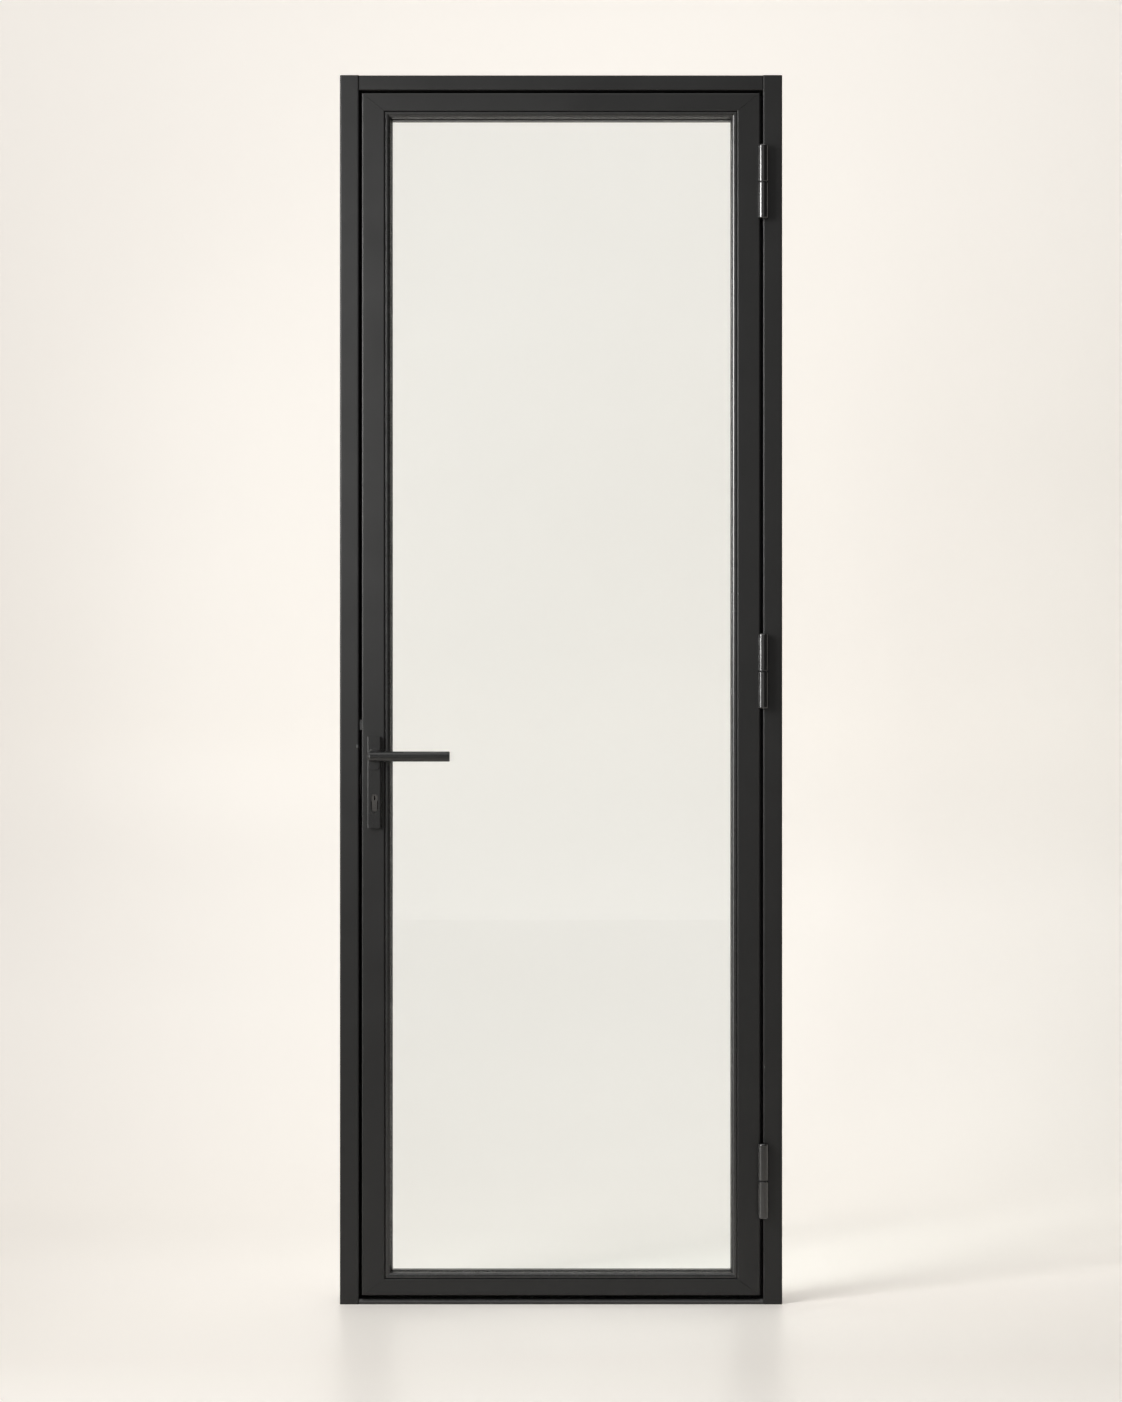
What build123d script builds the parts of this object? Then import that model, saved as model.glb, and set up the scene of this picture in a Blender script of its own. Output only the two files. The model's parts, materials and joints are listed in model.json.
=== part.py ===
from build123d import *
import math
import os

# A glazed hinged door in its frame. Millimetres, +Z up. The origin is at the middle of the foot of
# the frame, in the leaf's mid plane: X runs across the door, hinges at +X, and -Y is the side that
# the leaf opens towards.

# ---------------------------------------------------------------- driving dimensions
FRAME_W = 828.0          # over both jambs
FRAME_H = 2300.0
JAMB_FACE = 36.0         # width of a jamb seen from the front
HEAD_FACE = 28.0
FRONT = -25.0            # front face of frame and leaf
STOP_Y = 28.0            # front face of the rebate stop
BACK = 45.0              # back face of the frame
STOP = 11.0              # how far the stop stands into the doorway
GAP = 5.0                # gap between leaf and frame
EDGE = 3.0               # rounding of the long edges
WALL = 2.2               # wall of the hollow sections
LEAF_T = 50.0            # thickness of the leaf
LEAF_LOW = 16.4          # underside of the leaf
STILE = 43.5             # visible widths of the leaf's members
RAIL_TOP = 34.4
RAIL_LOW = 31.4
POCKET = 11.0            # depth of the glazing pocket
GLASS_T = 8.0
GLASS_Y = -6.0           # front face of the glass
SPINDLE_X, SPINDLE_Z = -348.5, 1025.0
PLATE = (-363.0, -335.0, 891.0, 1062.6)   # handle plate: x, x, z, z
PLATE_T = 8.0
BAR_R = 9.5              # round bar of the lever
BAR_Y = -75.0            # centre line of the lever's grip
LEVER_TIP = -205.0
REAR_TIP = -215.5        # the rear lever ends a little sooner
CYL_Z = 948.0            # axis of the lock cylinder's plug
HINGE_X, HINGE_Y, HINGE_R = 377.5, -35.5, 10.0
HINGES = {"top": (2029.0, 2097.0, 2167.7), "middle": (1114.2, 1183.6, 1254.6), "bottom": (162.2, 232.6, 302.8)}
SPLIT_GAP = 1.6          # height of the washer between two knuckles
FIX_Z = (400.0, 900.0, 1500.0, 1950.0)    # frame fixings in each jamb
LATCH_TRAVEL = 10.0
BOLT_TRAVEL = 14.0
FIT = 0.05               # radial clearance of running fits

HALF = FRAME_W / 2                        # 414
REB = HALF - JAMB_FACE                    # 378, rebate wall of the jamb
LEAF = REB - GAP                          # 373, half width of the leaf
HEAD_Z = FRAME_H - HEAD_FACE              # 2272
LEAF_TOP = HEAD_Z - GAP                   # 2267
IN_X = LEAF - STILE                       # 329.5, inner edge of the stiles
IN_TOP = LEAF_TOP - RAIL_TOP              # 2232.6
IN_LOW = LEAF_LOW + RAIL_LOW              # 47.8
SIGHT_X = IN_X - POCKET                   # 318.5, sight line of beads and glazing lip
SIGHT_TOP = IN_TOP - POCKET
SIGHT_LOW = IN_LOW + POCKET
REAR = FRONT + LEAF_T                     # 25
GLASS_BACK = GLASS_Y + GLASS_T            # 2

parts = {}


# ---------------------------------------------------------------- helpers
def outline(points, radii=None):
    """Closed polygon with its own radius at each corner; 0 keeps a corner sharp."""
    face = make_face(Polyline(*points, close=True))
    for radius in sorted({r for r in (radii or []) if r > 0}):
        wanted = [p for p, r in zip(points, radii) if r == radius]
        face = fillet([v for v in face.vertices() if any(abs(v.X - p[0]) < 1e-5 and abs(v.Y - p[1]) < 1e-5 for p in wanted)], radius)
    return face


def along_x(face, x0, x1):
    """A (y, z) face extruded along X."""
    return extrude(Plane.YZ.offset(x0) * face, amount=x1 - x0)


def along_y(face, y0, y1):
    """An (x, z) face extruded along Y."""
    return extrude(Plane(origin=(0, y1, 0), x_dir=(1, 0, 0), z_dir=(0, -1, 0)) * face, amount=y1 - y0)


def along_z(face, z0, z1):
    """An (x, y) face extruded along Z."""
    return extrude(Plane.XY.offset(z0) * face, amount=z1 - z0)


def block(x0, x1, y0, y1, z0, z1):
    return Pos((x0 + x1) / 2, (y0 + y1) / 2, (z0 + z1) / 2) * Box(x1 - x0, y1 - y0, z1 - z0)


def rod_x(x0, x1, y, z, r):
    return along_x(Pos(y, z) * Circle(r), x0, x1)


def rod_y(y0, y1, x, z, r):
    return along_y(Pos(x, z) * Circle(r), y0, y1)


def rod_z(z0, z1, x, y, r):
    return along_z(Pos(x, y) * Circle(r), z0, z1)


def traced(path, to):
    """A face from a list of points, with (mid, end) pairs for arcs, each point mapped by to()."""
    edges, here = [], to(*path[0])
    start = here
    for step in path[1:]:
        if isinstance(step[0], tuple):
            mid, there = to(*step[0]), to(*step[1])
            edges.append(ThreePointArc(here, mid, there))
        else:
            there = to(*step)
            edges.append(Line(here, there))
        here = there
    edges.append(Line(here, start))
    return make_face(edges)


def mitred(path, x_in, z_low, z_high, holes=()):
    """Four lengths of one section round a rectangle, mitred at 45 degrees. The section is drawn as
    (w, y), w being the distance outwards from the rectangle's edge."""
    reach = 14.0
    region = {
        "right": [(x_in - 2, z_high - 2), (x_in + reach, z_high + reach), (x_in + reach, z_low - reach), (x_in - 2, z_low + 2)],
        "top": [(x_in - 2, z_high - 2), (x_in + reach, z_high + reach), (-x_in - reach, z_high + reach), (-x_in + 2, z_high - 2)],
        "bottom": [(x_in - 2, z_low + 2), (x_in + reach, z_low - reach), (-x_in - reach, z_low - reach), (-x_in + 2, z_low + 2)],
    }
    maps = {
        "right": lambda w, y: (x_in + w, y),
        "top": lambda w, y: (y, z_high + w),
        "bottom": lambda w, y: (y, z_low - w),
    }
    made = {}
    for side, to in maps.items():
        face = traced(path, to)
        for hole in holes:
            face -= traced(hole, to)
        if side == "right":
            bar = along_z(face, z_low - reach, z_high + reach)
        else:
            bar = along_x(face, -x_in - reach, x_in + reach)
        made[side] = bar & along_y(outline(region[side]), -60, 60)
    made["left"] = mirror(made["right"], about=Plane.YZ)
    return made


def placed(shape, at, facing):
    """A shape drawn at the origin along +Z, put at a point with +Z turned to face a direction."""
    return Plane(origin=at, z_dir=facing).location * shape


def csk_screw(at, facing, length, r=2.45, head_r=4.6, head_h=2.1, key=3.0):
    """Countersunk socket screw; its head is flush at the point and its shank runs inwards."""
    body = Pos(0, 0, -head_h / 2) * Cone(r, head_r, head_h)
    body += Pos(0, 0, -(length + head_h) / 2) * Cylinder(r, length - head_h)
    body -= Pos(0, 0, -0.8) * extrude(RegularPolygon(key / 2, 6), amount=1.6)
    return placed(body, at, facing)


def csk_hole(at, facing, length, r=2.5, head_r=4.65, head_h=2.12):
    body = Pos(0, 0, -head_h / 2 + 0.0) * Cone(r, head_r, head_h)
    body += Pos(0, 0, -length / 2) * Cylinder(r, length)
    return placed(body, at, facing)


def cap_screw(at, facing, length, r=2.95, head_r=5.0, head_h=4.0, key=5.0):
    """Socket cap screw; the point is under its head."""
    body = Pos(0, 0, head_h / 2) * Cylinder(head_r, head_h)
    body += Pos(0, 0, -length / 2) * Cylinder(r, length)
    body -= Pos(0, 0, head_h - 1.2) * extrude(RegularPolygon(key / 2, 6), amount=2.4)
    return placed(body, at, facing)


def joined(*shapes):
    """Separate solids kept apart in one node."""
    solids = []
    for shape in shapes:
        solids.extend(shape.solids())
    return Compound(children=solids)


# ---------------------------------------------------------------- frame: jambs, head, threshold
jamb_face = outline(
    [(REB, FRONT), (HALF, FRONT), (HALF, BACK), (REB - STOP, BACK), (REB - STOP, STOP_Y), (REB, STOP_Y)],
    [EDGE, EDGE, EDGE, 1.5, 0.8, 0],
)
jamb_face -= outline([
    (REB + 3.0, FRONT + WALL), (HALF - WALL, FRONT + WALL), (HALF - WALL, BACK - WALL),
    (REB - STOP + WALL, BACK - WALL), (REB - STOP + WALL, STOP_Y + 3.5), (REB + 3.0, STOP_Y + 3.5),
], [0.8] * 6)
jamb_right = along_z(jamb_face, 0, FRAME_H)
jamb_left = mirror(jamb_right, about=Plane.YZ)

head_face = outline(
    [(FRONT, HEAD_Z), (STOP_Y, HEAD_Z), (STOP_Y, HEAD_Z - STOP), (BACK, HEAD_Z - STOP), (BACK, FRAME_H), (FRONT, FRAME_H)],
    [EDGE, 0, 0.8, 1.5, EDGE, EDGE],
)
head_face -= outline([
    (FRONT + WALL, HEAD_Z + WALL), (STOP_Y + 3.5, HEAD_Z + WALL), (STOP_Y + 3.5, HEAD_Z - STOP + WALL),
    (BACK - WALL, HEAD_Z - STOP + WALL), (BACK - WALL, FRAME_H - WALL), (FRONT + WALL, FRAME_H - WALL),
], [0.8] * 6)
head = along_x(head_face, -REB, REB)
for side in (-1, 1):
    x0, x1 = sorted((side * (REB - STOP), side * (REB + 1)))
    head -= block(x0, x1, STOP_Y, BACK + 1, HEAD_Z - STOP - 1, FRAME_H + 1)
    # the small bevel on the end of the head that draws the joint line
    bevel = Plane(origin=(side * REB, FRONT, (HEAD_Z + FRAME_H) / 2)).location * (Rot(0, 0, 45) * Box(1.5, 1.5, HEAD_FACE + 2))
    head -= bevel

SILL_Z = 9.4
UPSTAND = 23.0
sill_face = outline(
    [(FRONT + 0.6, 0), (BACK, 0), (BACK, UPSTAND), (STOP_Y, UPSTAND), (STOP_Y, SILL_Z), (FRONT + 5.6, SILL_Z), (FRONT + 0.6, 4.4)],
    [0, 0, 1.5, 0.8, 0.6, 0.4, 0.4],
)
sill_face -= outline([(STOP_Y + 3.5, 9.0), (BACK - WALL, 9.0), (BACK - WALL, UPSTAND - WALL), (STOP_Y + 3.5, UPSTAND - WALL)], [0.6] * 4)
threshold = along_x(sill_face, -REB, REB)
for side in (-1, 1):
    x0, x1 = sorted((side * (REB - STOP), side * (REB + 1)))
    threshold -= block(x0, x1, STOP_Y, BACK + 1, -1, UPSTAND + 1)

# weather seal: rounded lip in front of the stop, with a barbed tail pressed into the stop
seal_path = [(0, STOP_Y), (0, 26.6), ((0.38, 25.68), (1.3, 25.3)), (4.7, 25.3), ((5.62, 25.68), (6.0, 26.6)), (6.0, STOP_Y),
             (4.0, STOP_Y), (4.0, 30.0), (2.0, 30.0), (2.0, STOP_Y)]
seal_in = (REB - STOP + 0.8, UPSTAND - 0.8, HEAD_Z - STOP + 0.8)
seals = mitred(seal_path, *seal_in)
parts["weather_seal"] = joined(*seals.values())
groove = mitred([(2.0, STOP_Y - 1), (4.0, STOP_Y - 1), (4.0, 30.0), (2.0, 30.0)], *seal_in)
for cutter in groove.values():
    jamb_left -= cutter
    jamb_right -= cutter
    head -= cutter
    threshold -= cutter

# blocks in the ends of the head, and the screws that pull the frame's corners together
cleat = block(REB - 42, REB - 0.1, -19, 26, HEAD_Z + WALL + 0.1, FRAME_H - WALL - 0.1)
corner_screws = []
for y in (-9.0, 17.0):
    at = (REB + 3.0, y, (HEAD_Z + FRAME_H) / 2)
    corner_screws.append(cap_screw(at, (1, 0, 0), 30))
    cleat -= rod_x(REB - 30, REB + 1, y, at[2], 3.0)
    jamb_right -= rod_x(REB - 1, REB + 4, y, at[2], 3.0)
for y in (-8.0, 16.0):
    at = (REB + 3.0, y, 4.7)
    corner_screws.append(cap_screw(at, (1, 0, 0), 26, r=1.95, head_r=3.4, head_h=2.8, key=3.0))
    hole = rod_x(REB - 26, REB + 4, y, 4.7, 2.0)
    jamb_right -= hole
    threshold -= hole
    threshold -= mirror(hole, about=Plane.YZ)
for z in ((HEAD_Z + FRAME_H) / 2,):
    for y in (-9.0, 17.0):
        jamb_left -= rod_x(-REB - 4, -REB + 1, y, z, 3.0)
for y in (-8.0, 16.0):
    jamb_left -= rod_x(-REB - 4, -REB + 26, y, 4.7, 2.0)
parts["frame_corner_screws"] = joined(*corner_screws, *[mirror(s, about=Plane.YZ) for s in corner_screws])
parts["head_cleats"] = joined(cleat, mirror(cleat, about=Plane.YZ))

# fixing holes: a wide hole in the rebate wall, closed by a cap, and the bolt's hole in the outer wall
FIX_Y = 8.0
caps = []
for side in (-1, 1):
    for z in FIX_Z:
        wide = rod_x(*sorted((side * (REB - 1), side * (REB + 5))), FIX_Y, z, 7.5)
        narrow = rod_x(*sorted((side * (HALF - 5), side * (HALF + 1))), FIX_Y, z, 4.25)
        cap = rod_x(*sorted((side * (REB - 1.2), side * REB)), FIX_Y, z, 9.0)
        cap += rod_x(*sorted((side * REB, side * (REB + 4.5))), FIX_Y, z, 7.4)
        cap -= rod_x(*sorted((side * (REB + 0.6), side * (REB + 5))), FIX_Y, z, 6.2)
        caps.append(cap)
        if side < 0:
            jamb_left -= wide
            jamb_left -= narrow
        else:
            jamb_right -= wide
            jamb_right -= narrow
parts["fixing_hole_caps"] = joined(*caps)

# ---------------------------------------------------------------- strike plate in the lock jamb
STRIKE = (944.0, 1144.0)
strike = along_x(outline([(-19, STRIKE[0]), (13, STRIKE[0]), (13, STRIKE[1]), (-19, STRIKE[1])], [3] * 4), -REB - 1.5, -REB)
recess = along_x(outline([(-19.1, STRIKE[0] - 0.1), (13.1, STRIKE[0] - 0.1), (13.1, STRIKE[1] + 0.1), (-19.1, STRIKE[1] + 0.1)], [3] * 4), -REB - 1.5, -REB + 1)
jamb_left -= recess
backing = block(-REB - 6, -REB - 3, -15, 15, STRIKE[0] + 2, STRIKE[1] - 2)
for y0, y1, z0, z1 in ((-8.0, 8.5, 1072.5, 1097.0), (-8.0, 8.5, 954.0, 993.5)):
    window = along_x(outline([(y0, z0), (y1, z0), (y1, z1), (y0, z1)], [1.5] * 4), -REB - 8, -REB + 1)
    strike -= window
    jamb_left -= window
    backing -= window
# the small tab that wraps the jamb's rounded edge at mid height of the plate
tab_z = (1041.5, 1047.2)
half = math.sqrt(0.5)
bend = (-REB - EDGE, FRONT + EDGE)       # centre of the rounding that the tab follows
tab_path = [(-REB, -18.0), (-REB, bend[1]), ((bend[0] + EDGE * half, bend[1] - EDGE * half), (bend[0], FRONT)),
            (bend[0] - 1.8, FRONT), (bend[0] - 1.8, FRONT - 1.0), (bend[0], FRONT - 1.0),
            ((bend[0] + (EDGE + 1.0) * half, bend[1] - (EDGE + 1.0) * half), (-REB + 1.0, bend[1])), (-REB + 1.0, -17.0), (-REB, -17.0)]
strike += along_z(traced(tab_path, lambda x, y: (x, y)), *tab_z)
strike_screws = []
for z in (STRIKE[0] + 5.3, STRIKE[1] - 8.0):
    for shape_name in ("strike",):
        strike -= csk_hole((-REB, 0, z), (1, 0, 0), 4, head_h=1.4, head_r=3.95)
    cut = rod_x(-REB - 7, -REB - 1.0, 0, z, 2.5)
    jamb_left -= cut
    backing -= cut
    strike_screws.append(csk_screw((-REB - 0.02, 0, z), (1, 0, 0), 12, head_r=3.9, head_h=1.38, key=2.6))
parts["strike_plate"] = strike
parts["strike_backing_plate"] = backing
parts["strike_screws"] = joined(*strike_screws)

# ---------------------------------------------------------------- leaf: stiles and rails
stile_face = outline([(IN_X, FRONT), (LEAF, FRONT), (LEAF, REAR), (SIGHT_X, REAR), (SIGHT_X, 5.0), (IN_X, 5.0)],
                     [EDGE, EDGE, EDGE, 1.2, 1.0, 0])
stile_face -= outline([(IN_X + 2, FRONT + 2), (LEAF - 2, FRONT + 2), (LEAF - 2, REAR - 2), (IN_X + 2, REAR - 2)], [0.2] * 4)
stile_face -= outline([(SIGHT_X + 2, 7.0), (IN_X, 7.0), (IN_X, REAR - 2), (SIGHT_X + 2, REAR - 2)], [0.6] * 4)
stile_region = outline([
    (IN_X, IN_TOP), (LEAF, LEAF_TOP), (LEAF + 7, LEAF_TOP), (LEAF + 7, LEAF_LOW), (LEAF, LEAF_LOW), (IN_X, IN_LOW),
    (SIGHT_X, SIGHT_LOW), (SIGHT_X, SIGHT_TOP)])
stile_hinge = along_z(stile_face, LEAF_LOW, LEAF_TOP) & along_y(stile_region, FRONT - 5, REAR + 5)


def rail(z_out, z_in, z_sight):
    """A rail's length, from its outer edge, its inner face edge and its sight line, cut to the mitres."""
    s = 1 if z_out > z_in else -1
    face = outline([(FRONT, z_in), (FRONT, z_out), (REAR, z_out), (REAR, z_sight), (5.0, z_sight), (5.0, z_in)],
                   [EDGE, EDGE, EDGE, 1.2, 1.0, 0])
    face -= outline([(FRONT + 2, z_in + 2 * s), (FRONT + 2, z_out - 2 * s), (REAR - 2, z_out - 2 * s), (REAR - 2, z_in + 2 * s)], [0.2] * 4)
    face -= outline([(7.0, z_in), (REAR - 2, z_in), (REAR - 2, z_sight + 2 * s), (7.0, z_sight + 2 * s)], [0.6] * 4)
    region = outline([
        (-LEAF, z_out), (-LEAF, z_out + 7 * s), (LEAF, z_out + 7 * s), (LEAF, z_out), (IN_X, z_in), (SIGHT_X, z_sight),
        (-SIGHT_X, z_sight), (-IN_X, z_in)])
    return along_x(face, -LEAF, LEAF) & along_y(region, FRONT - 5, REAR + 5)


rail_top = rail(LEAF_TOP, IN_TOP, SIGHT_TOP)
rail_bottom = rail(LEAF_LOW, IN_LOW, SIGHT_LOW)

# fine V along each mitre on both faces
mitre_cuts = []
for side in (-1, 1):
    for (za, zb) in ((IN_TOP, LEAF_TOP), (IN_LOW, LEAF_LOW)):
        a, b = Vector(side * IN_X, 0, za), Vector(side * LEAF, 0, zb)
        mid, run = (a + b) * 0.5, (b - a)
        for y in (FRONT, REAR):
            plane = Plane(origin=(mid.X, y, mid.Z), x_dir=(0, 1, 0), z_dir=(run.X, run.Y, run.Z))
            mitre_cuts.append(plane.location * (Rot(0, 0, 45) * Box(0.5, 0.5, run.length + 4)))
stile_lock = mirror(stile_hinge, about=Plane.YZ)
for cutter in mitre_cuts:
    where = cutter.bounding_box().center()
    if where.X > 0:
        stile_hinge -= cutter
    else:
        stile_lock -= cutter
    if where.Z > 1000:
        rail_top -= cutter
    else:
        rail_bottom -= cutter

# groove in the pocket wall that the beads clip into
bead_groove = mitred([(POCKET - 0.5, -9.0), (POCKET + 0.9, -8.5), (POCKET + 0.9, -7.4), (POCKET - 0.5, -6.5)], SIGHT_X, SIGHT_LOW, SIGHT_TOP)
stile_hinge -= bead_groove["right"] & block(0, 500, -20, 0, IN_LOW, IN_TOP)
stile_lock -= bead_groove["left"] & block(-500, 0, -20, 0, IN_LOW, IN_TOP)
rail_top -= bead_groove["top"] & block(-IN_X, IN_X, -20, 0, 1000, 2400)
rail_bottom -= bead_groove["bottom"] & block(-IN_X, IN_X, -20, 0, 0, 1000)

# cast corner cleats inside the hollow members
def corner_cleat(z_out, z_in):
    s = 1 if z_out > z_in else -1
    x0, x1 = IN_X + 2.9, LEAF - 2.15
    za, zb = z_in + 2.15 * s, z_out - 2.15 * s
    leg = za - 58 * s
    shape = outline([(x0, leg), (x1, leg), (x1, zb), (x0 - 85, zb), (x0 - 85, za), (x0, za)])
    shape -= outline([(x0 + 4, leg + 5 * s), (x1 - 4, leg + 5 * s), (x1 - 4, za - 6 * s), (x0 + 4, za - 6 * s)])
    shape -= outline([(x0 - 80, za + 4 * s), (x0 - 6, za + 4 * s), (x0 - 6, zb - 4 * s), (x0 - 80, zb - 4 * s)])
    return along_y(shape, FRONT + 2.15, REAR - 2.15)


cleats = [corner_cleat(LEAF_TOP, IN_TOP), corner_cleat(LEAF_LOW, IN_LOW)]
parts["corner_cleats"] = joined(*cleats, *[mirror(c, about=Plane.YZ) for c in cleats])

# ---------------------------------------------------------------- glass, gaskets, beads
GLASS_IN = 3.0           # gap from the glass edge to the pocket's floor
pane = along_y(outline([(-IN_X + GLASS_IN, IN_LOW + GLASS_IN), (IN_X - GLASS_IN, IN_LOW + GLASS_IN),
                        (IN_X - GLASS_IN, IN_TOP - GLASS_IN), (-IN_X + GLASS_IN, IN_TOP - GLASS_IN)]), GLASS_Y, GLASS_BACK)
parts["glass_pane"] = chamfer(pane.edges(), 0.5)
parts["setting_blocks"] = joined(block(-250, -170, GLASS_Y, 4.5, IN_LOW, IN_LOW + GLASS_IN), block(170, 250, GLASS_Y, 4.5, IN_LOW, IN_LOW + GLASS_IN))

front_gasket = mitred([(-1.0, -9.5 + 1.0), ((-0.707, -9.207), (0.0, -9.5)), (8.0, -9.5), (8.0, GLASS_Y), (-1.0, GLASS_Y)], SIGHT_X, SIGHT_LOW, SIGHT_TOP)
rear_gasket = mitred([(-0.6, GLASS_BACK), (8.0, GLASS_BACK), (8.0, 5.0), (0.4, 5.0), ((-0.307, 4.707), (-0.6, 4.0))], SIGHT_X, SIGHT_LOW, SIGHT_TOP)
for name, lengths in (("glazing_gasket_front", front_gasket), ("glazing_gasket_rear", rear_gasket)):
    ring = lengths["top"] + lengths["left"] + lengths["right"] + lengths["bottom"]
    parts[name] = ring

BEAD_Y = FRONT + 1.4
bead_path = [
    (POCKET, -15.0), (POCKET - 1.4, -15.0), (POCKET - 1.4, BEAD_Y + 0.5), ((POCKET - 1.55, BEAD_Y + 0.15), (POCKET - 1.9, BEAD_Y)),
    (POCKET - 2.6, BEAD_Y),
    ((POCKET - 2.6 - 8.4 * math.sin(math.pi / 4), BEAD_Y + 8.4 - 8.4 * math.cos(math.pi / 4)), (0.0, BEAD_Y + 8.4)),
    (0.0, -10.1), ((0.176, -9.676), (0.6, -9.5)), (POCKET - 1.4, -9.5), (POCKET - 1.4, -6.6), (POCKET, -6.6),
]
bead_hole = [
    (POCKET - 2.9, -11.0), (POCKET - 2.9, BEAD_Y + 1.6),
    ((POCKET - 2.9 - 6.6 * math.sin(math.pi / 4), BEAD_Y + 8.2 - 6.6 * math.cos(math.pi / 4)), (POCKET - 9.5, BEAD_Y + 8.2)),
    (POCKET - 9.5, -11.0),
]
beads = mitred(bead_path, SIGHT_X, SIGHT_LOW, SIGHT_TOP, holes=[bead_hole])
barbs = mitred([(POCKET, -8.7), (POCKET + 0.75, -8.35), (POCKET + 0.75, -7.65), (POCKET, -6.9)], SIGHT_X, SIGHT_LOW, SIGHT_TOP)
inside = {
    "right": block(0, 500, -20, 0, IN_LOW + 20, IN_TOP - 20), "left": block(-500, 0, -20, 0, IN_LOW + 20, IN_TOP - 20),
    "top": block(-IN_X + 20, IN_X - 20, -20, 0, 1000, 2400), "bottom": block(-IN_X + 20, IN_X - 20, -20, 0, 0, 1000),
}
for side in ("left", "right", "top", "bottom"):
    parts["bead_" + side] = beads[side] + (barbs[side] & inside[side])

# ---------------------------------------------------------------- hinges
WING = 2.2
hinge_pins, washers, leaf_screws, frame_screws, leaf_backs, frame_backs = [], [], [], [], [], []
for name, (low, split, high) in HINGES.items():
    lower_top, upper_low = split - SPLIT_GAP / 2, split + SPLIT_GAP / 2
    lower = rod_z(low, lower_top, HINGE_X, HINGE_Y, HINGE_R)
    lower = fillet(lower.edges().filter_by(GeomType.CIRCLE).sort_by(Axis.Z)[0], 3.0)
    lower = chamfer(lower.edges().filter_by(GeomType.CIRCLE).sort_by(Axis.Z)[-1], 0.9)
    upper = rod_z(upper_low, high, HINGE_X, HINGE_Y, HINGE_R)
    upper = fillet(upper.edges().filter_by(GeomType.CIRCLE).sort_by(Axis.Z)[-1], 3.0)
    upper = chamfer(upper.edges().filter_by(GeomType.CIRCLE).sort_by(Axis.Z)[0], 0.9)
    wing_low, wing_high = low + 3, high - 3
    frame_half = lower + block(REB - WING, REB, -28.5, -20, wing_low, lower_top) + block(REB - WING, REB, -24.4, 20, wing_low, wing_high)
    leaf_half = upper + block(LEAF, LEAF + WING, -28.5, -20, upper_low, wing_high) + block(LEAF, LEAF + WING, -24.4, 20, wing_low, wing_high)
    frame_half -= rod_z(low + 10, split + 1, HINGE_X, HINGE_Y, 5.5)
    leaf_half -= rod_z(split - 1, high - 10, HINGE_X, HINGE_Y, 5.5)
    hinge_pins.append(rod_z(low + 10, high - 11, HINGE_X, HINGE_Y, 5.5 - FIT))
    washers.append(rod_z(lower_top, upper_low, HINGE_X, HINGE_Y, 7.6) - rod_z(lower_top - 1, upper_low + 1, HINGE_X, HINGE_Y, 5.6))
    back_leaf = block(LEAF - 5, LEAF - 2, -18, 20, low + 5, high - 5)
    back_frame = block(REB + 3, REB + 6, -18, 20, low + 5, high - 5)
    spots = [(low + 16, -10), (low + 44, 10), (high - 44, 10), (high - 16, -10)]
    for z, y in spots:
        leaf_half -= csk_hole((LEAF + WING, y, z), (1, 0, 0), 4)
        frame_half -= csk_hole((REB - WING, y, z), (-1, 0, 0), 4)
        leaf_screws.append(csk_screw((LEAF + WING - 0.02, y, z), (1, 0, 0), 12))
        frame_screws.append(csk_screw((REB - WING + 0.02, y, z), (-1, 0, 0), 12))
        cut = rod_x(LEAF - 6, LEAF + 0.5, y, z, 2.5)
        stile_hinge -= cut
        back_leaf -= cut
        cut = rod_x(REB - 0.5, REB + 7, y, z, 2.5)
        jamb_right -= cut
        back_frame -= cut
    leaf_backs.append(back_leaf)
    frame_backs.append(back_frame)
    parts["hinge_frame_half_" + name] = frame_half
    parts["hinge_leaf_half_" + name] = leaf_half
parts["hinge_pins"] = joined(*hinge_pins)
parts["hinge_washers"] = joined(*washers)
parts["hinge_leaf_screws"] = joined(*leaf_screws)
parts["hinge_frame_screws"] = joined(*frame_screws)
parts["hinge_leaf_backing_plates"] = joined(*leaf_backs)
parts["hinge_frame_backing_plates"] = joined(*frame_backs)

# ---------------------------------------------------------------- lock: case, faceplate, clips
FACE_Z = (895.0, 1125.0)
CASE = (-370.0, -332.2, -7.5, 7.5, 909.0, 1111.0)


def cylinder_profile(extra=0.0):
    """Outline of the lock cylinder: a round barrel with a narrower web below it."""
    return Pos(SPINDLE_X, CYL_Z) * Circle(8.5 + extra) + outline(
        [(SPINDLE_X - 5 - extra, 922 - extra), (SPINDLE_X + 5 + extra, 922 - extra), (SPINDLE_X + 5 + extra, CYL_Z), (SPINDLE_X - 5 - extra, CYL_Z)],
        [3.5, 3.5, 0, 0])


faceplate = along_x(outline([(-10, FACE_Z[0]), (10, FACE_Z[0]), (10, FACE_Z[1]), (-10, FACE_Z[1])], [3] * 4), -LEAF, -LEAF + 3)
slot = along_x(outline([(-10.1, FACE_Z[0] - 0.1), (10.1, FACE_Z[0] - 0.1), (10.1, FACE_Z[1] + 0.1), (-10.1, FACE_Z[1] + 0.1)], [3] * 4), -LEAF - 1, -LEAF + 2.5)
stile_lock -= slot
LATCH_Z = (1075.5, 1094.0)
BOLT_Z = (957.0, 990.0)
faceplate -= block(-LEAF - 1, -LEAF + 4, -6.2, 6.2, LATCH_Z[0] - 0.2, LATCH_Z[1] + 0.2)
faceplate -= block(-LEAF - 1, -LEAF + 4, -5.7, 5.7, BOLT_Z[0] - 0.2, BOLT_Z[1] + 0.2)
clips = []
clip_screws = []
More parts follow.
